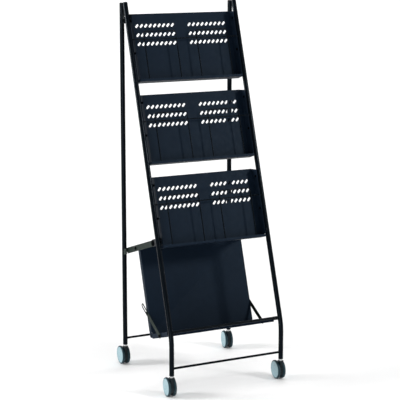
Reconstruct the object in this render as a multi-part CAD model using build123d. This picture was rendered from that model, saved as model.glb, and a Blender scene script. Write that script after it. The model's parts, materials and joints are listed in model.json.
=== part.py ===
from build123d import *
import os
from math import atan2, cos, degrees, hypot, radians, sin, tan

# A two-column, three-tier brochure rack on casters.
#
# Origin: on the floor, midway between the left and right legs and midway between the front
# and rear wheels. +Z is up, -Y is the front and +X is the right-hand side seen from the front.
#
# Everything hung on the front legs is placed in the legs' own leaning coordinates:
#   x  across the rack,
#   s  up along the leg, from the bend,
#   d  square to the legs, towards the back and down.

# ---------------------------------------------------------------- driving dimensions (mm)
LEG_SPACING = 480.0          # left leg axis to right leg axis
STEM_DEPTH = 450.0           # front caster stems to rear caster stems
LEAN = 18.3                  # front legs' lean above their bend, degrees
LEG_BOTTOM = 87.0            # tube ends above the floor
BEND_HEIGHT = 226.0
BEND_RADIUS = 180.0
LEG_LENGTH = 1328.0          # bend to the top of the leaning tube
POST_TOP = 1484.0
TUBE_RADIUS = 9.55
TUBE_WALL = 1.2
CAP_HEIGHT = 3.0

CROSSBAR_RADIUS = 5.0
CROSSBAR_S = 32.0
LOWER_ROD_RADIUS = 4.5
FRONT_ROD_HEIGHT = 115.5
REAR_ROD_HEIGHT = 114.0

SHEET = 1.2
TRAY_COUNT = 3
TRAY_FLOOR_S = 356.5         # underside of the lowest tray's floor
TRAY_PITCH = 326.5
TRAY_HEIGHT = 280.0
TRAY_HALF_WIDTH = 225.2
TRAY_BACK_D = 26.0           # front face of the back sheet
TRAY_FRONT_D = -13.2         # front face of the lip
LIP_HEIGHT = 10.0
END_PLATE_FOOT = 11.0        # the end plates stop this far above the floor's underside
END_PLATE_DROP = 10.0        # their top edge falls this much towards the front

COLUMN_OFFSET = 114.5        # each leaflet column's centre
SLOTS_PER_ROW = 9
SLOT_PITCH = 19.3
SLOT_LENGTH = 18.2
SLOT_WIDTH = 8.1
SLOT_SLANT = 46.0            # slot's long axis above the horizontal, degrees
SLOT_ROWS_BELOW_TOP = (49.0, 85.5, 122.0)

WIRE_RADIUS = 2.0
GUARD_ROD_S = 168.5          # above the tray floor's underside
GUARD_ROD_D = -5.8
HOOP_D = -9.9
HOOP_TOP_S = 199.5
HOOP_HALF_WIDTH = 69.5
HOOP_CORNER = 9.0

# Stock shelf linkage: a parallelogram of links, shelf and panel hung on the front legs.
LINK_FRONT = (66.0, 384.0)   # (d, s) of the links' pivot on the leg brackets
SHELF_FRONT = (38.0, 30.0)   # the shelf's pivot on its leg brackets
LINK_SPAN = 184.0            # front pivot to the panel's pivot, on the links and the shelf
BRACE_ON_SHELF = (132.0, 24.0)
BRACE_ON_PANEL = (227.0, 120.0)
BRACE_SLOT_TRAVEL = 47.0
BRACE_RADIUS = 9.3           # half the braces' width
REAR_FOLD_RATIO = -0.15      # rear frame's turn per degree of shelf fold

LINK_HEIGHT = 24.0
BAR_OUTER_X = 229.8          # links and braces lie in this layer, beside the panel
BAR_THICKNESS = 2.0
PANEL_HALF_WIDTH = 227.4
PANEL_FACE_D = 211.5
PANEL_REAR_D = 232.0
PANEL_FOOT_S = 41.0
PANEL_TONGUE_S = 33.0        # its lower edge between the shelf's flanges
PANEL_TOP_S = 393.0
SHELF_HALF_WIDTH = 225.8
SHELF_FRONT_D = 28.0
SHELF_REAR_D = 206.0
SHELF_BASE_S = 17.0
SHELF_TOP_S = 35.0
BRACKET_OUTER_X = 233.2
BRACKET_THICKNESS = 3.0
PIN_RADIUS = 4.0
PIN_HEAD_RADIUS = 6.5
PIN_TIP_RADIUS = 5.5
RUNNING_CLEARANCE = 0.05
LOOP_CLEARANCE = 0.25        # at the links' rear pivot, where the linkage is opened

HINGE_HEIGHT = 1417.0        # rear frame's pivot
HINGE_SETBACK = 25.0         # and how far it is in front of the posts
HINGE_TOP = 1446.0           # the ears reach up the tubes to here
HINGE_EAR = 3.0
HINGE_EAR_GAP = 0.3          # between the two ears
HINGE_EAR_RADIUS = 11.0
HINGE_RIVET_HEAD = 7.5

WHEEL_RADIUS = 37.5
WHEEL_TRAIL = 21.0
WHEEL_INNER_X = 6.5
WHEEL_OUTER_X = 16.5
COVER_RADIUS = 33.0
COVER_OUTER_X = 17.6
AXLE_RADIUS = 4.0
CASTER_BODY_HALF = 5.2
BODY_RADIUS = 33.5
MOUTH_TOP = 20.0             # the housing is cut back at the front below this height
MOUTH_Y = 18.0               # to this far in front of the axle
STEM_RADIUS = 6.5
COLLAR_RADIUS = 11.5
COLLAR_TOP = 79.6
COLLAR_HEIGHT = 4.0

# ---------------------------------------------------------------- derived places
HALF_SPACING = LEG_SPACING / 2
FRONT_Y = -(STEM_DEPTH / 2 + WHEEL_TRAIL)
REAR_Y = FRONT_Y + STEM_DEPTH
LEAN_SIN = sin(radians(LEAN))
LEAN_COS = cos(radians(LEAN))
LEFT, RIGHT = -1, 1
SHELF_REAR_PIVOT = (SHELF_FRONT[0] + LINK_SPAN, SHELF_FRONT[1])
LINK_REAR_PIVOT = (LINK_FRONT[0] + LINK_SPAN, LINK_FRONT[1])
HOOK_D = (STEM_DEPTH - LINK_FRONT[1] * LEAN_SIN) / LEAN_COS
HOOK = (HOOK_D, LINK_FRONT[1])
HINGE_AXIS = (REAR_Y - HINGE_SETBACK, HINGE_HEIGHT)

# Small turns that the casters have come to rest at, degrees about +Z.
CASTERS = {
    "front_left": (LEFT * HALF_SPACING, FRONT_Y, -5.5),
    "front_right": (RIGHT * HALF_SPACING, FRONT_Y, -4.5),
    "rear_left": (LEFT * HALF_SPACING, REAR_Y, -2.0),
    "rear_right": (RIGHT * HALF_SPACING, REAR_Y, -10.0),
}


# ---------------------------------------------------------------- coordinates and helpers
def world(x, s, d):
    """The rack-frame point at leaning coordinates (x, s, d)."""
    return (x, FRONT_Y + s * LEAN_SIN + d * LEAN_COS, BEND_HEIGHT + s * LEAN_COS - d * LEAN_SIN)


# Sketches on LEANING have x across and y up the leg; its normal points forwards.
LEANING = Plane(origin=world(0, 0, 0), x_dir=(1, 0, 0), z_dir=(0, -LEAN_COS, LEAN_SIN))


def side_plane(x):
    """A plane at x whose sketch axes are (d, s) and whose normal is +X."""
    return Plane(origin=world(x, 0, 0), x_dir=(0, LEAN_COS, -LEAN_SIN), z_dir=(1, 0, 0))


def upright_plane(x, y=0.0):
    """A plane at x whose sketch axes are (Y, Z), with Y counted from y; normal +X."""
    return Plane(origin=(x, y, 0), x_dir=(0, 1, 0), z_dir=(1, 0, 0))


def slab(x_range, s_range, d_range):
    """A block lying square to the legs."""
    size = [b - a for a, b in (x_range, s_range, d_range)]
    middle = [(a + b) / 2 for a, b in (x_range, s_range, d_range)]
    block = Box(size[0], size[1], size[2])
    return LEANING * Pos(middle[0], middle[1], -middle[2]) * block


def rod_x(x_range, plane_point, radius):
    """A round bar along X; plane_point is its (Y, Z)."""
    length = x_range[1] - x_range[0]
    centre = ((x_range[0] + x_range[1]) / 2, plane_point[0], plane_point[1])
    return Pos(*centre) * Rot(0, 90, 0) * Cylinder(radius, length)


def leaning_rod_x(x_range, point, radius):
    """A round bar along X at leaning point (d, s)."""
    _, y, z = world(0, point[1], point[0])
    return rod_x(x_range, (y, z), radius)


def polar(centre, radius, angle):
    """The (d, s) point at radius and angle, in degrees, from centre."""
    return (centre[0] + radius * cos(radians(angle)), centre[1] + radius * sin(radians(angle)))


def bar_outline(start, end, radius):
    """A flat bar with round ends, as a sketch."""
    angle = degrees(atan2(end[1] - start[1], end[0] - start[0]))
    length = hypot(end[0] - start[0], end[1] - start[1])
    middle = ((start[0] + end[0]) / 2, (start[1] + end[1]) / 2)
    return Pos(*middle) * Rot(0, 0, angle) * SlotCenterToCenter(length, 2 * radius)


def on_side(side, sketch, outer_x, thickness, plane=side_plane):
    """A plate of the sketch's outline, its outer face at outer_x on the given side."""
    low = min(side * outer_x, side * (outer_x - thickness))
    return extrude(plane(low) * sketch, thickness)


def across(side, outer_x, inner_x):
    """An X range on the given side, lowest first."""
    return tuple(sorted((side * outer_x, side * inner_x)))


def single(shape):
    """The shape's one solid."""
    solids = shape.solids()
    assert len(solids) == 1, f"{len(solids)} solids where one was meant"
    return solids[0]


# ---------------------------------------------------------------- front frame
def leg_path(side):
    """A front leg's centre line: upright, an arc, then leaning back."""
    x = side * HALF_SPACING
    reach = BEND_RADIUS * tan(radians(LEAN / 2))
    upright = Line((x, FRONT_Y, LEG_BOTTOM), (x, FRONT_Y, BEND_HEIGHT - reach))
    arc_centre = Plane(
        origin=(x, FRONT_Y + BEND_RADIUS, BEND_HEIGHT - reach), x_dir=(0, -1, 0), z_dir=(-1, 0, 0)
    )
    bend = arc_centre * CenterArc((0, 0), BEND_RADIUS, 0, LEAN)
    leaning = Line(world(x, reach, 0), world(x, LEG_LENGTH, 0))
    return upright + bend + leaning


def leg_solid(side, radius):
    """A solid bar of the given radius along a front leg's centre line."""
    profile = Pos(side * HALF_SPACING, FRONT_Y, LEG_BOTTOM) * Circle(radius)
    return sweep(profile, path=leg_path(side))


def post_solid(side, radius):
    height = POST_TOP - LEG_BOTTOM
    return Pos(side * HALF_SPACING, REAR_Y, LEG_BOTTOM + height / 2) * Cylinder(radius, height)


def leg_axis_y(z):
    """Where the leaning leg's axis is at height z."""
    return FRONT_Y + (z - BEND_HEIGHT) * LEAN_SIN / LEAN_COS


TRAY_FLOORS = [TRAY_FLOOR_S + i * TRAY_PITCH for i in range(TRAY_COUNT)]
TRAY_SCREW_RADIUS = 2.5
TRAY_SCREW_S = (115.0, 245.0)    # above each tray floor's underside


def screw_places(floor):
    """Where a tray is screwed to the legs, as places along them."""
    return [floor + s for s in TRAY_SCREW_S]


def front_leg(side):
    tube = leg_solid(side, TUBE_RADIUS) - leg_solid(side, TUBE_RADIUS - TUBE_WALL)
    inner_wall = across(side, HALF_SPACING, HALF_SPACING - 12)
    for floor in TRAY_FLOORS:
        for s in screw_places(floor):
            tube -= leaning_rod_x(inner_wall, (0, s), TRAY_SCREW_RADIUS + 0.1)
    return single(tube)


def between_legs(point, radius):
    """A round bar along X whose ends are coped to the front legs; point is its (Y, Z)."""
    bar = rod_x((-HALF_SPACING, HALF_SPACING), point, radius)
    for side in (LEFT, RIGHT):
        bar -= leg_solid(side, TUBE_RADIUS)
    return max(bar.solids(), key=lambda solid: solid.volume)


def crossbar():
    _, y, z = world(0, CROSSBAR_S, 0)
    return between_legs((y, z), CROSSBAR_RADIUS)


def end_cap():
    """A push-in plug with a low dome, standing on the tube end at z = 0."""
    plug = Pos(0, 0, -6) * Cylinder(TUBE_RADIUS - TUBE_WALL - 0.1, 12)
    rim = Pos(0, 0, CAP_HEIGHT / 2) * Cylinder(TUBE_RADIUS, CAP_HEIGHT)
    rim = fillet(rim.edges().group_by(Axis.Z)[-1], 2.4)
    return single(plug + rim)


def leg_caps():
    caps = []
    for side in (LEFT, RIGHT):
        top = Plane(origin=world(side * HALF_SPACING, LEG_LENGTH, 0), z_dir=(0, LEAN_SIN, LEAN_COS))
        caps.append(top * end_cap())
    return Compound(children=caps)


def hinge_ear(side, root_low, root_high, bore, inner):
    """A plate from the tube axis points given, in (Y, Z), to a round end about the hinge axis."""
    rounds = [(Pos(*place) * Circle(8)).edge() for place in (root_low, root_high)]
    outline = make_hull(rounds + [(Pos(*HINGE_AXIS) * Circle(HINGE_EAR_RADIUS)).edge()])
    outline -= Pos(*HINGE_AXIS) * Circle(bore)
    low = -HINGE_EAR_GAP / 2 - HINGE_EAR if inner else HINGE_EAR_GAP / 2
    return extrude(upright_plane(side * HALF_SPACING + low) * outline, HINGE_EAR)


def hinge_leg_ears():
    """Ears welded up the backs of the front legs."""
    low = (leg_axis_y(HINGE_HEIGHT), HINGE_HEIGHT)
    high = (leg_axis_y(HINGE_TOP), HINGE_TOP)
    ears = []
    for side in (LEFT, RIGHT):
        plate = hinge_ear(side, low, high, PIN_RADIUS, side == RIGHT) - leg_solid(side, TUBE_RADIUS)
        ears.append(max(plate.solids(), key=lambda solid: solid.center().Y))
    return Compound(children=ears)


def hinge_post_ears():
    """Ears welded up the fronts of the rear posts, beside the legs' ears."""
    low = (REAR_Y, HINGE_HEIGHT)
    high = (REAR_Y, HINGE_TOP)
    ears = []
    for side in (LEFT, RIGHT):
        plate = hinge_ear(side, low, high, PIN_RADIUS + RUNNING_CLEARANCE, side == LEFT)
        plate -= post_solid(side, TUBE_RADIUS)
        ears.append(min(plate.solids(), key=lambda solid: solid.center().Y))
    return Compound(children=ears)


def hinge_rivet(side):
    """The rear frame's pivot: a rivet through both ears with a low head at each end."""
    x = side * HALF_SPACING
    reach = HINGE_EAR_GAP / 2 + HINGE_EAR + 0.2
    rivet = rod_x((x - reach, x + reach), HINGE_AXIS, PIN_RADIUS)
    for end in (LEFT, RIGHT):
        head = rod_x(across(1, x + end * reach, x + end * (reach + 2.4)), HINGE_AXIS, HINGE_RIVET_HEAD)
        outer_face = head.faces().sort_by(Axis.X)[-1 if end > 0 else 0]
        rivet += fillet(outer_face.edges(), 1.4)
    return single(rivet)


def hinge_rivets():
    return Compound(children=[hinge_rivet(side) for side in (LEFT, RIGHT)])


def pivot_bracket(side, pivot, radius):
    """A flat ear on the back of a leg, carrying a stock shelf pivot."""
    outline = bar_outline((0, pivot[1]), pivot, radius) - Pos(*pivot) * Circle(PIN_RADIUS)
    plate = on_side(side, outline, BRACKET_OUTER_X, BRACKET_THICKNESS)
    plate -= leg_solid(side, TUBE_RADIUS)
    plate -= leaning_rod_x((-HALF_SPACING, HALF_SPACING), (0, CROSSBAR_S), CROSSBAR_RADIUS)
    return max(plate.solids(), key=lambda solid: solid.center().Y)


def pivot_brackets():
    ears = []
    for side in (LEFT, RIGHT):
        ears.append(pivot_bracket(side, LINK_FRONT, LINK_HEIGHT / 2 + 2))
        ears.append(pivot_bracket(side, SHELF_FRONT, 7.5))
    return Compound(children=ears)


def pin(side, point, outer_x, inner_x, head_radius=None, tip_radius=None):
    """A pin with a domed head outside outer_x and a peened tip inside inner_x, or flush without."""
    body = leaning_rod_x(across(side, outer_x, inner_x), point, PIN_RADIUS)
    if head_radius:
        head = leaning_rod_x(across(side, outer_x, outer_x + 2.2), point, head_radius)
        outer_face = head.faces().sort_by(Axis.X)[-1 if side > 0 else 0]
        body += fillet(outer_face.edges(), 1.2)
    if tip_radius:
        body += leaning_rod_x(across(side, inner_x, inner_x - 1.6), point, tip_radius)
    return single(body)


def frame_pivot_pins():
    """The four pins that the links and the shelf turn on; the links' are flush inside."""
    link_inner = BAR_OUTER_X - BAR_THICKNESS
    shelf_inner = SHELF_HALF_WIDTH - SHEET - 0.2
    pins = []
    for side in (LEFT, RIGHT):
        pins.append(pin(side, LINK_FRONT, BRACKET_OUTER_X, link_inner, 11.5))
        pins.append(pin(side, SHELF_FRONT, BRACKET_OUTER_X, shelf_inner, PIN_HEAD_RADIUS, PIN_TIP_RADIUS))
    return Compound(children=pins)


# ---------------------------------------------------------------- trays
def slot_rows(height):
    """Centres of the slanted slots, in (x, s) above the tray floor's underside."""
    first = -(SLOTS_PER_ROW - 1) / 2 * SLOT_PITCH
    return [
        (column * COLUMN_OFFSET + first + i * SLOT_PITCH, height - below)
        for column in (LEFT, RIGHT)
        for below in SLOT_ROWS_BELOW_TOP
        for i in range(SLOTS_PER_ROW)
    ]


def back_panel(floor):
    """The perforated back sheet, from the floor sheet up."""
    low = floor + SHEET
    height = TRAY_HEIGHT - SHEET
    outline = Pos(0, low + height / 2) * Rectangle(2 * TRAY_HALF_WIDTH, height)
    outline = fillet(outline.vertices().group_by(Axis.Y)[-1], 5)
    slot = Rot(0, 0, SLOT_SLANT) * SlotOverall(SLOT_LENGTH, SLOT_WIDTH)
    outline -= [Pos(x, floor + s) * slot for x, s in slot_rows(TRAY_HEIGHT)]
    sheet = extrude(outline, SHEET)
    return single(LEANING * Pos(0, 0, -TRAY_BACK_D - SHEET) * sheet)


def end_plate(side, floor):
    """One end of a tray, its top edge falling towards the front."""
    foot = floor + END_PLATE_FOOT
    top = floor + TRAY_HEIGHT
    outline = Polyline(
        (TRAY_FRONT_D, foot),
        (TRAY_BACK_D, foot),
        (TRAY_BACK_D, top - 1),
        (TRAY_FRONT_D, top - END_PLATE_DROP),
        close=True,
    )
    face = make_face(outline)
    face = fillet(face.vertices().group_by(Axis.X)[0], 3)
    face -= [Pos(0, s) * Circle(TRAY_SCREW_RADIUS + 0.1) for s in screw_places(floor)]
    face -= Pos(GUARD_ROD_D, floor + GUARD_ROD_S) * Circle(WIRE_RADIUS + 0.1)
    return single(on_side(side, face, TRAY_HALF_WIDTH, SHEET))


def end_plates(floor):
    return Compound(children=[end_plate(side, floor) for side in (LEFT, RIGHT)])


def tray_shelf(floor):
    """The floor sheet with its upturned front lip, folded with a small radius."""
    front, back = TRAY_FRONT_D, TRAY_BACK_D + SHEET
    outline = make_face(
        Polyline(
            (back, floor),
            (back, floor + SHEET),
            (front + SHEET, floor + SHEET),
            (front + SHEET, floor + LIP_HEIGHT),
            (front, floor + LIP_HEIGHT),
            (front, floor),
            close=True,
        )
    )
    fold = outline.vertices().sort_by_distance((front, floor))[0]
    outline = fillet(fold, 1.1)
    return single(extrude(side_plane(-TRAY_HALF_WIDTH) * outline, 2 * TRAY_HALF_WIDTH))


def guard_rod(floor):
    _, y, z = world(0, floor + GUARD_ROD_S, GUARD_ROD_D)
    return between_legs((y, z), WIRE_RADIUS)


def guard_hoop(column, floor):
    """An upturned U of wire standing on the tray floor, just inside the lip."""
    x = column * COLUMN_OFFSET
    foot = floor + SHEET + 0.1
    top = floor + HOOP_TOP_S
    path = FilletPolyline(
        (x - HOOP_HALF_WIDTH, foot),
        (x - HOOP_HALF_WIDTH, top),
        (x + HOOP_HALF_WIDTH, top),
        (x + HOOP_HALF_WIDTH, foot),
        radius=HOOP_CORNER,
    )
    start = Plane(origin=(x - HOOP_HALF_WIDTH, foot, 0), z_dir=(0, 1, 0))
    wire = sweep(start * Circle(WIRE_RADIUS), path=path)
    return single(LEANING * Pos(0, 0, -HOOP_D) * wire)


def guard_hoops(floor):
    return Compound(children=[guard_hoop(column, floor) for column in (LEFT, RIGHT)])


def tray_screw(side, s):
    """A shoulder screw: head inside the tray, collar between end plate and leg, tip in the leg."""
    inside = TRAY_HALF_WIDTH - SHEET
    head = leaning_rod_x(across(side, inside, inside - 3), (0, s), 5)
    head = fillet(head.faces().sort_by(Axis.X)[0 if side > 0 else -1].edges(), 1.6)
    shank = leaning_rod_x(across(side, inside, HALF_SPACING - 3), (0, s), TRAY_SCREW_RADIUS)
    collar_end = HALF_SPACING - TUBE_RADIUS - 0.2
    collar = leaning_rod_x(across(side, TRAY_HALF_WIDTH, collar_end), (0, s), 4.5)
    return single(head + shank + collar)


def tray_screws():
    return Compound(
        children=[
            tray_screw(side, s)
            for side in (LEFT, RIGHT)
            for floor in TRAY_FLOORS
            for s in screw_places(floor)
        ]
    )


# ---------------------------------------------------------------- rear frame
def rear_post(side):
    tube = post_solid(side, TUBE_RADIUS) - post_solid(side, TUBE_RADIUS - TUBE_WALL)
    inner_wall = across(side, HALF_SPACING, HALF_SPACING - 12)
    tube -= leaning_rod_x(inner_wall, HOOK, PIN_RADIUS + 0.02)
    return single(tube)


def rear_crossbar():
    bar = rod_x((-HALF_SPACING, HALF_SPACING), (REAR_Y, REAR_ROD_HEIGHT), LOWER_ROD_RADIUS)
    for side in (LEFT, RIGHT):
        bar -= post_solid(side, TUBE_RADIUS)
    return max(bar.solids(), key=lambda solid: solid.volume)


def post_caps():
    caps = [Pos(side * HALF_SPACING, REAR_Y, POST_TOP) * end_cap() for side in (LEFT, RIGHT)]
    return Compound(children=caps)


def hook_pins():
    """Headed pins on the insides of the posts, which the links hook over."""
    shank_end = BAR_OUTER_X - BAR_THICKNESS - 0.5
    pins = []
    for side in (LEFT, RIGHT):
        shank = leaning_rod_x(across(side, HALF_SPACING - 6, shank_end), HOOK, PIN_RADIUS)
        head = leaning_rod_x(across(side, shank_end, shank_end - 2.2), HOOK, PIN_HEAD_RADIUS)
        head = fillet(head.faces().sort_by(Axis.X)[0 if side > 0 else -1].edges(), 1.2)
        pins.append(single(shank + head))
    return Compound(children=pins)


def post_saddles():
    """Bent clips lining the front of each post where the link's hook meets it."""
    _, _, z = world(0, HOOK[1], HOOK[0])
    ring = Circle(TUBE_RADIUS + 1.0) - Circle(TUBE_RADIUS)
    clips = []
    for side in (LEFT, RIGHT):
        # From just past the front, round to short of the inner side.
        ends = [polar((0, 0), 30, angle) for angle in ((-125, -27) if side == LEFT else (-153, -55))]
        wedge = make_face(Polyline((0, 0), ends[0], polar((0, 0), 40, -90), ends[1], close=True))
        clip = extrude(ring & wedge, LINK_HEIGHT)
        clips.append(single(Pos(side * HALF_SPACING, REAR_Y, z - LINK_HEIGHT / 2) * clip))
    return Compound(children=clips)


# ---------------------------------------------------------------- stock shelf linkage
def hook_exit():
    """The direction, in (d, s), in which the hook pin leaves a link as the shelf folds up."""
    reach = HOOK[0] - LINK_FRONT[0]
    drop = HINGE_HEIGHT - world(0, HOOK[1], HOOK[0])[2]
    forward = drop * REAR_FOLD_RATIO
    upward = HINGE_SETBACK * REAR_FOLD_RATIO
    return (
        forward * LEAN_COS - upward * LEAN_SIN,
        forward * LEAN_SIN + upward * LEAN_COS - reach,
    )


def link(side):
    """A flat link: front eye, panel pivot, and a hook open downwards at the rear."""
    outline = bar_outline(LINK_FRONT, HOOK, LINK_HEIGHT / 2)
    outline -= Pos(*LINK_FRONT) * Circle(PIN_RADIUS + RUNNING_CLEARANCE)
    outline -= Pos(*LINK_REAR_PIVOT) * Circle(PIN_RADIUS + LOOP_CLEARANCE)
    away = hook_exit()
    length = hypot(*away)
    mouth = (HOOK[0] + away[0] / length * 40, HOOK[1] + away[1] / length * 40)
    outline -= bar_outline(HOOK, mouth, PIN_RADIUS + 0.4)
    return single(on_side(side, outline, BAR_OUTER_X, BAR_THICKNESS))


def brace(side):
    """A flat brace: an eye on the shelf, and a slot that the panel's pin slides in."""
    a, b = BRACE_ON_SHELF, BRACE_ON_PANEL
    length = hypot(b[0] - a[0], b[1] - a[1])
    along = ((b[0] - a[0]) / length, (b[1] - a[1]) / length)
    far = (b[0] + along[0] * BRACE_SLOT_TRAVEL, b[1] + along[1] * BRACE_SLOT_TRAVEL)
    outline = bar_outline(a, far, BRACE_RADIUS)
    outline -= Pos(*a) * Circle(PIN_RADIUS + RUNNING_CLEARANCE)
    outline -= bar_outline(b, far, PIN_RADIUS + 0.3)
    return single(on_side(side, outline, BAR_OUTER_X, BAR_THICKNESS))


def panel_flange(side):
    """The stock panel's side flange, with ears for the link above and the shelf below."""
    ear = 8.5
    rear = PANEL_REAR_D
    pivot, tab = SHELF_REAR_PIVOT, LINK_REAR_PIVOT
    strip = make_face(
        Polyline(
            (PANEL_FACE_D, PANEL_FOOT_S),
            (pivot[0] - ear, pivot[1]),
            (pivot[0] + ear * 0.8, pivot[1] - ear * 0.6),
            (rear, PANEL_FOOT_S + 10),
            (rear, tab[1] - 12),
            (tab[0] + ear, tab[1] - 10),
            (tab[0] + ear, PANEL_TOP_S - 2),
            (PANEL_FACE_D, PANEL_TOP_S),
            close=True,
        )
    )
    outline = strip + Pos(*pivot) * Circle(ear)
    outline -= Pos(*pivot) * Circle(PIN_RADIUS + RUNNING_CLEARANCE)
    for point in (tab, BRACE_ON_PANEL):
        outline -= Pos(*point) * Circle(PIN_RADIUS)
    return on_side(side, outline, PANEL_HALF_WIDTH, SHEET)


def stock_panel():
    """The sheet behind the stock shelf, with a folded flange down each side."""
    sheet = slab(
        (-PANEL_HALF_WIDTH, PANEL_HALF_WIDTH),
        (PANEL_FOOT_S, PANEL_TOP_S),
        (PANEL_FACE_D, PANEL_FACE_D + SHEET),
    )
    inside = SHELF_HALF_WIDTH - SHEET - 0.8
    foot = slab(
        (-inside, inside),
        (PANEL_TONGUE_S, PANEL_FOOT_S),
        (PANEL_FACE_D, PANEL_FACE_D + SHEET),
    )
    return single(sheet + foot + panel_flange(LEFT) + panel_flange(RIGHT))


def shelf_flange(side):
    pivot = SHELF_REAR_PIVOT
    outline = make_face(
        Polyline(
            (SHELF_FRONT_D, SHELF_BASE_S),
            (pivot[0] - 12, SHELF_BASE_S),
            (pivot[0] + 7, pivot[1] - 4),
            (pivot[0] + 7, SHELF_TOP_S + 1),
            (SHELF_FRONT_D, SHELF_TOP_S + 1),
            close=True,
        )
    )
    outline -= Pos(*pivot) * Circle(PIN_RADIUS)
    outline -= Pos(*BRACE_ON_SHELF) * Circle(PIN_RADIUS)
    outline -= Pos(*SHELF_FRONT) * Circle(PIN_RADIUS + RUNNING_CLEARANCE)
    return on_side(side, outline, SHELF_HALF_WIDTH, SHEET)


def stock_shelf():
    """A shallow pan: floor, an upturned front and a flange up each side."""
    across_all = (-SHELF_HALF_WIDTH, SHELF_HALF_WIDTH)
    floor = slab(across_all, (SHELF_BASE_S, SHELF_BASE_S + SHEET), (SHELF_FRONT_D, SHELF_REAR_D))
    front = slab(across_all, (SHELF_BASE_S, SHELF_TOP_S), (SHELF_FRONT_D, SHELF_FRONT_D + SHEET))
    return single(floor + front + shelf_flange(LEFT) + shelf_flange(RIGHT))


def panel_pins():
    """Pins fixed in the panel's flanges: the link pivots and the braces' slot pins."""
    outer, inner = BAR_OUTER_X + 0.3, PANEL_HALF_WIDTH - SHEET
    return Compound(
        children=[
            pin(side, point, outer, inner, PIN_HEAD_RADIUS, PIN_TIP_RADIUS)
            for side in (LEFT, RIGHT)
            for point in (LINK_REAR_PIVOT, BRACE_ON_PANEL)
        ]
    )


def shelf_pins():
    """Pins fixed in the shelf's flanges: the panel's pivots, flush outside, and the braces' eyes."""
    inner = SHELF_HALF_WIDTH - SHEET
    pins = []
    for side in (LEFT, RIGHT):
        pins.append(pin(side, SHELF_REAR_PIVOT, PANEL_HALF_WIDTH, inner, None, PIN_HEAD_RADIUS))
        eye_outer = BAR_OUTER_X + 0.3
        pins.append(pin(side, BRACE_ON_SHELF, eye_outer, inner, PIN_HEAD_RADIUS, PIN_TIP_RADIUS))
    return Compound(children=pins)


# ---------------------------------------------------------------- casters
def revolve_x(outline):
    """A solid turned about the caster's axle; the outline is in (x, radius)."""
    turned = revolve(outline, Axis.X, 360)
    return Pos(0, WHEEL_TRAIL, WHEEL_RADIUS) * turned


def caster_wheel(side):
    """One wheel of the pair: a rounded tread round a dished core, bored for the axle."""
    inner, outer = WHEEL_INNER_X, WHEEL_OUTER_X
    bore = AXLE_RADIUS + RUNNING_CLEARANCE
    profile = make_face(
        Polyline(
            (inner, bore),
            (outer - 3, bore),
            (outer - 3, COVER_RADIUS + 0.1),
            (outer, COVER_RADIUS + 0.1),
            (outer, WHEEL_RADIUS),
            (inner, WHEEL_RADIUS),
            close=True,
        )
    )
    rim = [v for v in profile.vertices() if v.Y > WHEEL_RADIUS - 1]
    profile = fillet(rim, 2.8)
    wheel = revolve_x(profile)
    return single(wheel if side > 0 else mirror(wheel, Plane.YZ))


def hub_cover(side):
    """A disc with a rounded edge that closes the outside of a wheel."""
    x_range = across(side, WHEEL_OUTER_X - 3, COVER_OUTER_X)
    cover = rod_x(x_range, (WHEEL_TRAIL, WHEEL_RADIUS), COVER_RADIUS)
    outer_face = cover.faces().sort_by(Axis.X)[-1 if side > 0 else 0]
    return single(fillet(outer_face.edges(), 2.0))


def caster_axle():
    reach = WHEEL_OUTER_X - 3.6
    return single(rod_x((-reach, reach), (WHEEL_TRAIL, WHEEL_RADIUS), AXLE_RADIUS))


def caster_body():
    """The disc-shaped housing between the wheels, with a collar that turns on the stem."""
    centre = (WHEEL_TRAIL, WHEEL_RADIUS)
    disc = Pos(*centre) * Circle(BODY_RADIUS)
    mouth = Pos(centre[0] - MOUTH_Y - 30, MOUTH_TOP - 30) * Rectangle(60, 60)
    neck = Pos(1, COLLAR_TOP - 19) * Rectangle(2 * COLLAR_RADIUS - 2, 30)
    outline = disc - mouth + neck
    web = extrude(upright_plane(-CASTER_BODY_HALF) * outline, 2 * CASTER_BODY_HALF)
    collar = Pos(0, 0, COLLAR_TOP - COLLAR_HEIGHT / 2) * Cylinder(COLLAR_RADIUS, COLLAR_HEIGHT)
    collar = fillet(collar.edges().group_by(Axis.Z)[-1], 1.2)
    body = web & Pos(0, 0, COLLAR_TOP / 2) * Box(100, 200, COLLAR_TOP)
    body = body + collar
    body -= Pos(0, 0, COLLAR_TOP - 13) * Cylinder(4 + RUNNING_CLEARANCE, 26.2)
    body -= rod_x((-10, 10), centre, AXLE_RADIUS)
    return single(body)


def caster_stem():
    """The plated stem: a pivot in the body, a shoulder that shows, and a plug in the tube."""
    pivot = Pos(0, 0, COLLAR_TOP - 12) * Cylinder(4, 25)
    shoulder_low = COLLAR_TOP + 0.3
    shoulder_height = LEG_BOTTOM - shoulder_low
    shoulder = Pos(0, 0, shoulder_low + shoulder_height / 2) * Cylinder(STEM_RADIUS, shoulder_height)
    plug = Pos(0, 0, LEG_BOTTOM + 17) * Cylinder(TUBE_RADIUS - TUBE_WALL - 0.15, 34)
    return single(pivot + shoulder + plug)


def at_caster(name, shape):
    x, y, turn = CASTERS[name]
    return Pos(x, y, 0) * Rot(0, 0, turn) * shape


def caster_nodes(name):
    pair = (LEFT, RIGHT)
    return {
        f"{name}_caster_stem": at_caster(name, caster_stem()),
        f"{name}_caster_body": at_caster(name, caster_body()),
        f"{name}_caster_axle": at_caster(name, caster_axle()),
        f"{name}_caster_wheels": Compound(
            children=[at_caster(name, caster_wheel(side)) for side in pair]
        ),
        f"{name}_hub_covers": Compound(children=[at_caster(name, hub_cover(side)) for side in pair]),
    }


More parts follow.
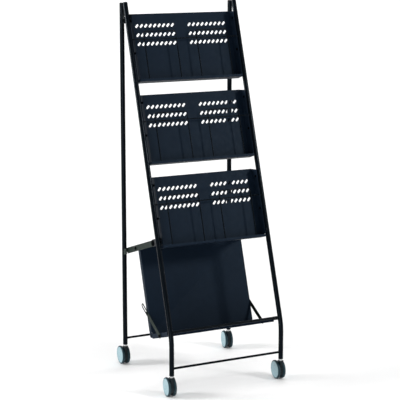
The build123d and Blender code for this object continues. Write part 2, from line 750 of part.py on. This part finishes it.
# ---------------------------------------------------------------- assembly
def all_nodes():
    nodes = {
        "front_leg_left": front_leg(LEFT),
        "front_leg_right": front_leg(RIGHT),
        "front_crossbar": crossbar(),
        "front_lower_rod": between_legs((FRONT_Y, FRONT_ROD_HEIGHT), LOWER_ROD_RADIUS),
        "leg_caps": leg_caps(),
        "hinge_leg_ears": hinge_leg_ears(),
        "hinge_rivets": hinge_rivets(),
        "pivot_brackets": pivot_brackets(),
        "frame_pivot_pins": frame_pivot_pins(),
        "tray_screws": tray_screws(),
        "rear_post_left": rear_post(LEFT),
        "rear_post_right": rear_post(RIGHT),
        "rear_crossbar": rear_crossbar(),
        "post_caps": post_caps(),
        "hinge_post_ears": hinge_post_ears(),
        "hook_pins": hook_pins(),
        "post_saddles": post_saddles(),
        "link_left": link(LEFT),
        "link_right": link(RIGHT),
        "brace_left": brace(LEFT),
        "brace_right": brace(RIGHT),
        "stock_panel": stock_panel(),
        "stock_shelf": stock_shelf(),
        "panel_pins": panel_pins(),
        "shelf_pins": shelf_pins(),
    }
    for name, floor in zip(("lower", "middle", "upper"), TRAY_FLOORS):
        nodes[f"{name}_tray_back"] = back_panel(floor)
        nodes[f"{name}_tray_ends"] = end_plates(floor)
        nodes[f"{name}_tray_shelf"] = tray_shelf(floor)
        nodes[f"{name}_guard_rod"] = guard_rod(floor)
        nodes[f"{name}_guard_hoops"] = guard_hoops(floor)
    for name in CASTERS:
        nodes.update(caster_nodes(name))
    return nodes


os.makedirs("parts", exist_ok=True)
for node, shape in all_nodes().items():
    export_step(shape, f"parts/{node}.step")
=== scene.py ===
import json
from math import cos, pi, radians, sin, tan

import bmesh
import bpy
from mathutils import Matrix, Vector


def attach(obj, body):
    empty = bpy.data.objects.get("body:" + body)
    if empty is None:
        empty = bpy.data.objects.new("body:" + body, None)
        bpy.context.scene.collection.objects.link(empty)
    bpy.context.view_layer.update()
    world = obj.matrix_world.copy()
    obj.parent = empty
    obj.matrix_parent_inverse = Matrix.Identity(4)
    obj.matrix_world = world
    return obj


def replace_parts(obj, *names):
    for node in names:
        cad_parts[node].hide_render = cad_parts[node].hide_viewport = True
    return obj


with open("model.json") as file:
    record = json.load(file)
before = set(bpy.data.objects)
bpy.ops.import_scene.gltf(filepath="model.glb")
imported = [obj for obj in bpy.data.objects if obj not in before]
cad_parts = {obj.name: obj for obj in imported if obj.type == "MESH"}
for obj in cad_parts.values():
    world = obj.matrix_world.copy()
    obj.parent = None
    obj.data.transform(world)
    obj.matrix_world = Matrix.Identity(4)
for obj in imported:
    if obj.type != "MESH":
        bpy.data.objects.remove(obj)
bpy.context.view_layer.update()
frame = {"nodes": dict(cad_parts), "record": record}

NODES = frame["nodes"]
BODIES = frame["record"]["behaviour"]["bodies"]
BODY_OF = {node: body for body, members in BODIES.items() for node in members}
SLOT_OF = {part["node"]: part["material_slot"] for part in frame["record"]["subparts"]}

# ---------------------------------------------------------------- the rack's layout, in metres
HALF_SPACING = 0.240
FRONT_Y = -0.246
REAR_Y = 0.204
LEAN_DEGREES = 18.3
LEAN = radians(LEAN_DEGREES)
BEND_HEIGHT = 0.226
BEND_RADIUS = 0.180
LEG_BOTTOM = 0.087
LEG_LENGTH = 1.328
TUBE_RADIUS = 0.00955

# Bars across the rack: heights, or places up the leg where the bar leans with it.
CROSSBAR_S = 0.032
CROSSBAR_RADIUS = 0.005
FRONT_ROD_HEIGHT = 0.1155
REAR_ROD_HEIGHT = 0.114
ROD_RADIUS = 0.0045

# Trays: the underside of each floor up the leg, and the wires in front of each back sheet.
TRAY_FLOORS = {"lower": 0.3565, "middle": 0.683, "upper": 1.0095}
COLUMN_OFFSET = 0.1145          # the middle of each column of brochures, from the centre
WIRE_RADIUS = 0.002
GUARD_ROD_S = 0.1685
GUARD_ROD_D = -0.0058
HOOP_D = -0.0099
HOOP_HALF_WIDTH = 0.0695
HOOP_CORNER = 0.009
HOOP_TOP = 0.1995
HOOP_FOOT = 0.0013

# Casters: where each stem stands and the angle its body rests at, in degrees.
AXLE_HEIGHT = 0.0375
TRAIL = 0.021                   # the axle behind the stem
CASTERS = {
    "front_left": (-HALF_SPACING, FRONT_Y, -5.5),
    "front_right": (HALF_SPACING, FRONT_Y, -4.5),
    "rear_left": (-HALF_SPACING, REAR_Y, -2.0),
    "rear_right": (HALF_SPACING, REAR_Y, -10.0),
}


def leaning(x, s, d):
    """The point at x across, s up the front leg from its bend and d behind it."""
    y = FRONT_Y + s * sin(LEAN) + d * cos(LEAN)
    z = BEND_HEIGHT + s * cos(LEAN) - d * sin(LEAN)
    return Vector((x, y, z))


# ---------------------------------------------------------------- materials
class Nodes:
    """A small helper that adds and links shader nodes."""

    def __init__(self, material):
        self.tree = material.node_tree
        self.shader = self.tree.nodes["Principled BSDF"]
        self.place = self.add("ShaderNodeTexCoord").outputs["Object"]

    def set(self, name, value):
        """Sets an input of the material's own shader."""
        self.shader.inputs[name].default_value = value

    def feed(self, source, name):
        """Links a node's output to an input of the material's own shader."""
        self.link(source, self.shader.inputs[name])

    def add(self, kind, **settings):
        node = self.tree.nodes.new(kind)
        for key, value in settings.items():
            setattr(node, key, value)
        return node

    def link(self, source, target):
        self.tree.links.new(source, target)

    def noise(self, scale, detail=3.0, roughness=0.55):
        node = self.add("ShaderNodeTexNoise")
        node.inputs["Scale"].default_value = scale
        node.inputs["Detail"].default_value = detail
        node.inputs["Roughness"].default_value = roughness
        self.link(self.place, node.inputs["Vector"])
        return node.outputs["Fac"]

    def remap(self, value, low, high, to_low, to_high):
        node = self.add("ShaderNodeMapRange")
        node.inputs["From Min"].default_value = low
        node.inputs["From Max"].default_value = high
        node.inputs["To Min"].default_value = to_low
        node.inputs["To Max"].default_value = to_high
        self.link(value, node.inputs["Value"])
        return node.outputs["Result"]

    def mix(self, factor, first, second):
        node = self.add("ShaderNodeMix", data_type="RGBA")
        self.link(factor, node.inputs["Factor"])
        colours = [socket for socket in node.inputs if socket.type == "RGBA"]
        for socket, colour in zip(colours, (first, second)):
            if isinstance(colour, tuple):
                socket.default_value = (*colour, 1.0)
            else:
                self.link(colour, socket)
        return next(socket for socket in node.outputs if socket.type == "RGBA")

    def bump(self, height, strength, distance, below=None):
        node = self.add("ShaderNodeBump")
        node.inputs["Strength"].default_value = strength
        node.inputs["Distance"].default_value = distance
        self.link(height, node.inputs["Height"])
        if below is not None:
            self.link(below, node.inputs["Normal"])
        return node.outputs["Normal"]


def new_material(name, metallic=0.0):
    material = bpy.data.materials.new(name)
    material.use_nodes = True
    nodes = Nodes(material)
    nodes.set("Metallic", metallic)
    return material, nodes


def powder_coat(name, colour, roughness, gloss, peel=900.0):
    """Satin powder coat: fine orange peel, faint mottling and light dusty scuffs."""
    material, n = new_material(name)
    mottle = n.remap(n.noise(35.0, 4.0), 0.3, 0.7, 0.0, 1.0)
    lighter = tuple(c * 1.14 for c in colour)
    base = n.mix(mottle, colour, lighter)
    scuff = n.remap(n.noise(160.0, 6.0, 0.7), 0.66, 0.80, 0.0, 0.20)
    dusty = tuple(c * 1.8 + 0.003 for c in colour)
    n.feed(n.mix(scuff, base, dusty), "Base Color")
    grain = n.noise(peel, 2.0)
    patches = n.noise(60.0, 4.0)
    n.feed(n.remap(patches, 0.3, 0.7, roughness - 0.05, roughness + 0.07), "Roughness")
    waves = n.bump(n.noise(300.0, 1.0), 0.10, 0.0002)
    n.feed(n.bump(grain, 0.30, 0.00010, waves), "Normal")
    n.set("Specular IOR Level", gloss)
    n.set("Specular Tint", (0.72, 0.88, 1.0, 1.0))
    return material


def plated(name, colour, roughness):
    """Zinc plate: bright, with turned lines and small cloudy patches."""
    material, n = new_material(name, 1.0)
    cloud = n.remap(n.noise(120.0, 5.0), 0.35, 0.65, 0.0, 1.0)
    duller = tuple(c * 0.78 for c in colour)
    n.feed(n.mix(cloud, colour, duller), "Base Color")
    lines = n.noise(400.0, 3.0)
    n.feed(n.remap(lines, 0.3, 0.7, roughness - 0.07, roughness + 0.1), "Roughness")
    n.feed(n.bump(n.noise(1600.0, 2.0), 0.2, 0.00005), "Normal")
    return material


def moulded(name, colour, roughness, gloss, grain=1400.0, depth=0.00006, dust=0.10):
    """Moulded plastic or tread: fine spark texture, with a little dust in its patches."""
    material, n = new_material(name)
    patch = n.remap(n.noise(90.0, 5.0, 0.65), 0.45, 0.75, 0.0, dust)
    grey = tuple(min(1.0, c * 0.6 + 0.22) for c in colour)
    n.feed(n.mix(patch, colour, grey), "Base Color")
    sheen = n.noise(150.0, 4.0)
    n.feed(n.remap(sheen, 0.3, 0.7, roughness - 0.06, roughness + 0.08), "Roughness")
    n.feed(n.bump(n.noise(grain, 3.0), 0.4, depth), "Normal")
    n.set("Specular IOR Level", gloss)
    return material


MATERIALS = {
    "frame_paint": powder_coat("frame_powder_coat", (0.0016, 0.0027, 0.0044), 0.18, 0.06),
    "sheet_paint": powder_coat("sheet_powder_coat", (0.0048, 0.0096, 0.0180), 0.46, 0.05),
    # The link paint is lighter than the sheet paint. Its grey-green tone is the parts' own; part
    # of its lightness is painted side light from the left.
    "link_paint": powder_coat("link_powder_coat_with_painted_side_light", (0.0100, 0.0150, 0.0120), 0.46, 0.07),
    "clip_plastic": moulded("clip_plastic", (0.040, 0.055, 0.048), 0.45, 0.25),
    "wire_paint": powder_coat("wire_powder_coat", (0.0014, 0.0022, 0.0032), 0.30, 0.05),
    "plated_steel": plated("zinc_plate", (0.62, 0.63, 0.64), 0.28),
    "black_fastener": powder_coat("black_oxide", (0.0018, 0.0022, 0.0026), 0.55, 0.0, 1800.0),
    "cap_plastic": moulded("cap_plastic", (0.006, 0.007, 0.009), 0.48, 0.15),
    "caster_tread": moulded(
        "caster_tread", (0.010, 0.030, 0.040), 0.46, 0.18, 700.0, 0.00012, 0.08
    ),
    "caster_plastic": moulded("caster_nylon", (0.004, 0.009, 0.012), 0.34, 0.16, dust=0.04),
    "hub_plastic": moulded("hub_cover_plastic", (0.23, 0.35, 0.39), 0.32, 0.40, 2000.0, 0.00003),
}


# ---------------------------------------------------------------- building pieces
def place(obj, body, slot):
    """Gives obj its finish and fixes it to its body."""
    obj.data.materials.clear()
    obj.data.materials.append(MATERIALS[slot])
    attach(obj, body)
    return obj


def mesh_object(name, verts, faces):
    """A smooth-shaded object whose faces all point outwards."""
    mesh = bpy.data.meshes.new(name)
    mesh.from_pydata([tuple(v) for v in verts], [], faces)
    mesh.validate()
    build = bmesh.new()
    build.from_mesh(mesh)
    bmesh.ops.recalc_face_normals(build, faces=build.faces)
    build.to_mesh(mesh)
    build.free()
    mesh.polygons.foreach_set("use_smooth", [True] * len(mesh.polygons))
    obj = bpy.data.objects.new(name, mesh)
    bpy.context.scene.collection.objects.link(obj)
    return obj


def sharp_by_angle(obj, degrees=32.0):
    """Keeps edges sharper than the angle crisp under smooth shading."""
    build = bmesh.new()
    build.from_mesh(obj.data)
    for edge in build.edges:
        bent = len(edge.link_faces) == 2 and edge.calc_face_angle(0.0) > radians(degrees)
        edge.smooth = not bent
    build.to_mesh(obj.data)
    build.free()


def eased_copy(node, width, segments=2):
    """A copy of a CAD node whose sharp edges are rounded like a painted sheet's."""
    mesh = NODES[node].data.copy()
    mesh.name = f"{node}_eased"
    build = bmesh.new()
    build.from_mesh(mesh)
    bmesh.ops.remove_doubles(build, verts=build.verts, dist=1e-6)
    bmesh.ops.dissolve_limit(
        build, angle_limit=radians(0.4), verts=build.verts, edges=build.edges, delimit={"NORMAL"}
    )
    build.to_mesh(mesh)
    build.free()
    obj = bpy.data.objects.new(f"{node}_eased", mesh)
    bpy.context.scene.collection.objects.link(obj)
    if mesh.has_custom_normals:
        with bpy.context.temp_override(object=obj, active_object=obj, selected_objects=[obj]):
            bpy.ops.mesh.customdata_custom_splitnormals_clear()
    mesh.polygons.foreach_set("use_smooth", [True] * len(mesh.polygons))
    edge = obj.modifiers.new("eased_edges", "BEVEL")
    edge.width = width
    edge.segments = segments
    edge.limit_method = "ANGLE"
    edge.angle_limit = radians(38)
    edge.use_clamp_overlap = True
    edge.harden_normals = True
    place(obj, BODY_OF[node], SLOT_OF[node])
    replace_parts(obj, node)


def ring_frames(points):
    """A frame at each point of a path, with no twist from one to the next."""
    frames = []
    normal = None
    for i, point in enumerate(points):
        ahead = points[min(i + 1, len(points) - 1)]
        behind = points[max(i - 1, 0)]
        tangent = (ahead - behind).normalized()
        if normal is None:
            normal = tangent.orthogonal().normalized()
        normal = (normal - tangent * normal.dot(tangent)).normalized()
        frames.append((point, normal, tangent.cross(normal)))
    return frames


def swept(points, radii, steps=32):
    """Verts and faces of a round bar along points, with a radius at each and closed ends."""
    verts, faces = [], []
    for (point, normal, binormal), radius in zip(ring_frames(points), radii):
        for k in range(steps):
            angle = 2 * pi * k / steps
            verts.append(point + radius * (cos(angle) * normal + sin(angle) * binormal))
    for i in range(len(points) - 1):
        for k in range(steps):
            a, b = i * steps + k, i * steps + (k + 1) % steps
            faces.append((a, b, b + steps, a + steps))
    faces.append(tuple(range(steps)))
    faces.append(tuple(range((len(points) - 1) * steps, len(points) * steps)))
    return verts, faces


def turned(profile, to_place, steps=96):
    """Verts and faces of a closed profile of (along, radius) turned about the local X axis."""
    verts, faces = [], []
    for k in range(steps):
        angle = 2 * pi * k / steps
        for along, radius in profile:
            verts.append(to_place @ Vector((along, radius * cos(angle), radius * sin(angle))))
    count = len(profile)
    for k in range(steps):
        here, there = k * count, (k + 1) % steps * count
        for j in range(count):
            after = (j + 1) % count
            faces.append((here + j, here + after, there + after, there + j))
    return verts, faces


def joined(name, parts):
    """One object from several (verts, faces) lists."""
    verts, faces = [], []
    for part_verts, part_faces in parts:
        start = len(verts)
        verts.extend(part_verts)
        faces.extend(tuple(i + start for i in face) for face in part_faces)
    return mesh_object(name, verts, faces)


def arc(centre, radius, start, end, steps):
    """Points of an arc in the plane x = centre.x, angles measured from -Y towards +Z."""
    points = []
    for k in range(steps + 1):
        angle = radians(start + (end - start) * k / steps)
        points.append(centre + Vector((0, -radius * cos(angle), radius * sin(angle))))
    return points


def bead(path, radius, steps=10):
    """A thin weld fillet along a path, its surface rippled like a laid bead."""
    radii = [radius * (1.0 + 0.10 * sin(i * 1.9)) for i in range(len(path))]
    return swept(path, radii, steps)


def collar_bead(centre, axis, radius, thickness):
    """A weld fillet all round a bar's end; axis is a unit vector along the bar."""
    side = axis.orthogonal().normalized()
    other = axis.cross(side)
    verts, faces = [], []
    rings, steps = 40, 8
    for i in range(rings):
        angle = 2 * pi * i / rings
        outward = cos(angle) * side + sin(angle) * other
        size = thickness * (1.0 + 0.12 * sin(i * 2.4))
        for k in range(steps):
            turn = 2 * pi * k / steps
            verts.append(centre + outward * (radius + size * cos(turn)) + axis * size * sin(turn))
    for i in range(rings):
        here, there = i * steps, (i + 1) % rings * steps
        for k in range(steps):
            after = (k + 1) % steps
            faces.append((here + k, here + after, there + after, there + k))
    return verts, faces


# ---------------------------------------------------------------- tubes, bars and wires
def leg_points(x):
    """The leg's centre line: upright at the foot, then bent back to its lean."""
    reach = BEND_RADIUS * tan(LEAN / 2)
    centre = Vector((x, FRONT_Y + BEND_RADIUS, BEND_HEIGHT - reach))
    points = [Vector((x, FRONT_Y, LEG_BOTTOM)), Vector((x, FRONT_Y, LEG_BOTTOM + 0.02))]
    points += arc(centre, BEND_RADIUS, 0, LEAN_DEGREES, 14)
    points += [leaning(x, s, 0) for s in (reach + 0.02, LEG_LENGTH - 0.02, LEG_LENGTH)]
    return points


for side, x in (("left", -HALF_SPACING), ("right", HALF_SPACING)):
    path = leg_points(x)
    leg = joined(f"{side}_leg_tube", [swept(path, [TUBE_RADIUS] * len(path), 40)])
    sharp_by_angle(leg)
    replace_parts(place(leg, "front_frame", "frame_paint"), f"front_leg_{side}")
    eased_copy(f"rear_post_{side}", 0.0002)


def welded_bar(name, node, y, z, radius, end_x):
    """A cross bar with a weld fillet where each end meets its tube."""
    xs = (-end_x, -end_x + 0.01, 0.0, end_x - 0.01, end_x)
    bar = swept([Vector((x, y, z)) for x in xs], [radius] * len(xs), 24)
    face_x = HALF_SPACING - TUBE_RADIUS
    along = Vector((1, 0, 0))
    beads = [
        collar_bead(Vector((x, y, z)), along, radius, radius * 0.22) for x in (-face_x, face_x)
    ]
    obj = joined(name, [bar] + beads)
    sharp_by_angle(obj)
    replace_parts(place(obj, BODY_OF[node], SLOT_OF[node]), node)


_, bar_y, bar_z = leaning(0, CROSSBAR_S, 0)
welded_bar("welded_crossbar", "front_crossbar", bar_y, bar_z, CROSSBAR_RADIUS, 0.2318)
welded_bar("welded_front_rod", "front_lower_rod", FRONT_Y, FRONT_ROD_HEIGHT, ROD_RADIUS, 0.2317)
welded_bar("welded_rear_rod", "rear_crossbar", REAR_Y, REAR_ROD_HEIGHT, ROD_RADIUS, 0.2317)
for level, floor in TRAY_FLOORS.items():
    _, bar_y, bar_z = leaning(0, floor + GUARD_ROD_S, GUARD_ROD_D)
    welded_bar(f"{level}_welded_rod", f"{level}_guard_rod", bar_y, bar_z, WIRE_RADIUS, 0.2340)


def hoop_points(x, floor):
    """A hoop of wire: up from the floor sheet, across and down again, with round corners."""
    half, corner, top, foot = HOOP_HALF_WIDTH, HOOP_CORNER, floor + HOOP_TOP, floor + HOOP_FOOT
    outline = [(-half, foot), (-half, foot + 0.01)]
    for middle, start in ((-half + corner, 180), (half - corner, 90)):
        for k in range(9):
            angle = radians(start - 90 * k / 8)
            outline.append((middle + corner * cos(angle), top - corner + corner * sin(angle)))
    outline += [(half, foot + 0.01), (half, foot)]
    return [leaning(x + a, s, HOOP_D) for a, s in outline]


def foot_bead(x, floor):
    """A weld fillet up a hoop's foot, where the wire meets the back of the lip."""
    run = [leaning(x, floor + s, -0.0112) for s in (0.0014, 0.0035, 0.006, 0.0085)]
    return bead(run, 0.0008)


for level, floor in TRAY_FLOORS.items():
    parts = []
    for x in (-COLUMN_OFFSET, COLUMN_OFFSET):
        path = hoop_points(x, floor)
        parts.append(swept(path, [WIRE_RADIUS] * len(path), 20))
        for foot_x in (x - HOOP_HALF_WIDTH, x + HOOP_HALF_WIDTH):
            parts += [foot_bead(foot_x + 0.0019, floor), foot_bead(foot_x - 0.0019, floor)]
    hoops = joined(f"{level}_wire_hoops", parts)
    sharp_by_angle(hoops, 60)
    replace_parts(place(hoops, "front_frame", "wire_paint"), f"{level}_guard_hoops")

# ---------------------------------------------------------------- sheets, plates and fasteners
# The width of the painted edge's rounding, and the nodes that have it.
EASED = (
    (0.00035, [f"{level}_tray_{p}" for level in TRAY_FLOORS for p in ("back", "ends", "shelf")]),
    (0.0004, ["stock_panel", "stock_shelf", "link_left", "link_right"]),
    (0.0004, ["brace_left", "brace_right"]),
    (0.0004, ["pivot_brackets", "post_saddles", "hinge_leg_ears", "hinge_post_ears"]),
    (0.0003, ["hinge_rivets", "tray_screws", "frame_pivot_pins"]),
    (0.0003, ["hook_pins", "panel_pins", "shelf_pins"]),
    (0.0004, ["leg_caps", "post_caps"]),
)
for width, nodes in EASED:
    for node in nodes:
        eased_copy(node, width)


# ---------------------------------------------------------------- casters
def caster_place(name):
    x, y, turn = CASTERS[name]
    return Matrix.Translation((x, y, 0)) @ Matrix.Rotation(radians(turn), 4, "Z")


def wheel_profile(side):
    """A tyre's (along, radius) outline: rounded shoulders, a moulded step, a dished inner face."""
    inner, outer, tread = 0.0065, 0.0165, 0.0375
    step, wide, deep = 0.0012, 0.0032, 0.0036
    outline = [(inner, 0.0045), (inner, 0.0120), (inner + step, 0.0135), (inner + step, 0.0290)]
    outline += [(inner, 0.0305), (inner, 0.0338)]
    for k in range(7):
        angle = radians(90 * k / 6)
        outline.append((inner + wide - wide * cos(angle), tread - deep + deep * sin(angle)))
    for k in range(7):
        angle = radians(90 - 90 * k / 6)
        outline.append((outer - wide + wide * cos(angle), tread - deep + deep * sin(angle)))
    outline += [(outer - 0.0002, 0.0334), (outer - 0.0022, 0.0331)]
    outline += [(outer - 0.0034, 0.0331), (outer - 0.0034, 0.0045)]
    return [(side * x, r) for x, r in outline]


def cover_profile(side):
    """A hub cover's (along, radius) outline: rolled rim, shallow dish and a raised boss."""
    outline = [
        (0.0136, 0.0002), (0.0136, 0.0328), (0.0158, 0.0329), (0.0168, 0.0325), (0.0174, 0.0316),
        (0.0175, 0.0304), (0.0172, 0.0293), (0.0165, 0.0285), (0.0164, 0.0278), (0.0167, 0.0240),
        (0.0170, 0.0180), (0.0172, 0.0110), (0.0169, 0.0098), (0.0165, 0.0092), (0.0165, 0.0086),
        (0.0170, 0.0080), (0.0174, 0.0072), (0.0176, 0.0040), (0.0176, 0.0002),
    ]
    return [(side * x, r) for x, r in outline]


for name in CASTERS:
    axle = caster_place(name) @ Matrix.Translation((0, TRAIL, AXLE_HEIGHT))
    tyres = joined(f"{name}_tyres", [turned(wheel_profile(side), axle) for side in (-1, 1)])
    sharp_by_angle(tyres, 40)
    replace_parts(place(tyres, f"{name}_wheel", "caster_tread"), f"{name}_caster_wheels")
    rounds = [turned(cover_profile(side), axle) for side in (-1, 1)]
    covers = joined(f"{name}_dished_covers", rounds)
    sharp_by_angle(covers, 50)
    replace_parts(place(covers, f"{name}_wheel", "hub_plastic"), f"{name}_hub_covers")
    eased_copy(f"{name}_caster_body", 0.0011, 3)
    eased_copy(f"{name}_caster_stem", 0.0003)
    axle_node = NODES[f"{name}_caster_axle"]
    axle_node.data.materials.clear()
    axle_node.data.materials.append(MATERIALS["plated_steel"])


# ---------------------------------------------------------------- floor, light and camera
def cyclorama():
    """A pale floor that curves up into a plain wall, turned square to the camera."""
    wall_foot, curve, wall_y, wall_top = 3.5, 2.5, 6.0, 14.0
    profile = [(-14.0, 0.0), (-3.0, 0.0), (wall_foot, 0.0)]
    for k in range(1, 13):
        angle = radians(90 * k / 12)
        profile.append((wall_foot + curve * sin(angle), curve - curve * cos(angle)))
    profile.append((wall_y, wall_top))
    turn = Matrix.Rotation(radians(-26.4), 3, "Z")
    verts = [turn @ Vector((x, y, z)) for y, z in profile for x in (-16.0, 16.0)]
    faces = [(2 * i, 2 * i + 1, 2 * i + 3, 2 * i + 2) for i in range(len(profile) - 1)]
    return mesh_object("studio_floor", verts, faces)


def floor_paint():
    """Near-white paint, faintly mottled, that glows more with distance from the rack."""
    material, n = new_material("studio_floor_paint")
    shade = n.remap(n.noise(0.6, 2.0), 0.3, 0.7, 0.0, 1.0)
    n.feed(n.mix(shade, (0.86, 0.86, 0.86), (0.90, 0.90, 0.90)), "Base Color")
    n.set("Roughness", 0.85)
    n.set("Emission Color", (1.0, 1.0, 1.0, 1.0))
    away = n.add("ShaderNodeVectorMath", operation="LENGTH")
    n.link(n.place, away.inputs[0])
    n.feed(n.remap(away.outputs["Value"], 1.2, 3.6, 0.06, 0.30), "Emission Strength")
    return material


backdrop = cyclorama()
backdrop.data.materials.append(floor_paint())


LIGHTS_AIM = Vector((0.0, 0.0, 0.75))


def area_light(name, position, size, power):
    """A square white light facing the middle of the rack."""
    data = bpy.data.lights.new(name, "AREA")
    data.shape = "SQUARE"
    data.size = size
    data.energy = power
    light = bpy.data.objects.new(name, data)
    light.location = position
    light.rotation_euler = (LIGHTS_AIM - Vector(position)).to_track_quat("-Z", "Y").to_euler()
    bpy.context.scene.collection.objects.link(light)


area_light("key", (3.0, -3.8, 2.9), 0.8, 135.0)
area_light("left_rim", (-4.6, 1.9, 1.8), 1.2, 240.0)
area_light("left_fill", (-3.4, -3.9, 0.8), 1.4, 62.0)
area_light("top", (0.0, 0.6, 4.5), 3.0, 60.0)

world = bpy.data.worlds.new("studio")
world.use_nodes = True
background = world.node_tree.nodes["Background"]
background.inputs["Color"].default_value = (1.0, 1.0, 1.0, 1.0)
background.inputs["Strength"].default_value = 0.32
bpy.context.scene.world = world

camera_data = bpy.data.cameras.new("camera")
camera_data.sensor_width = 36.0
camera_data.lens = 121.1
camera_data.shift_y = -0.05
camera = bpy.data.objects.new("camera", camera_data)
camera.location = (-2.3340, -4.7168, 1.7647)
camera.rotation_euler = (radians(90 - 10.488), 0.0, radians(-26.355))
bpy.context.scene.collection.objects.link(camera)
bpy.context.scene.camera = camera
bpy.context.scene.view_settings.view_transform = "Standard"
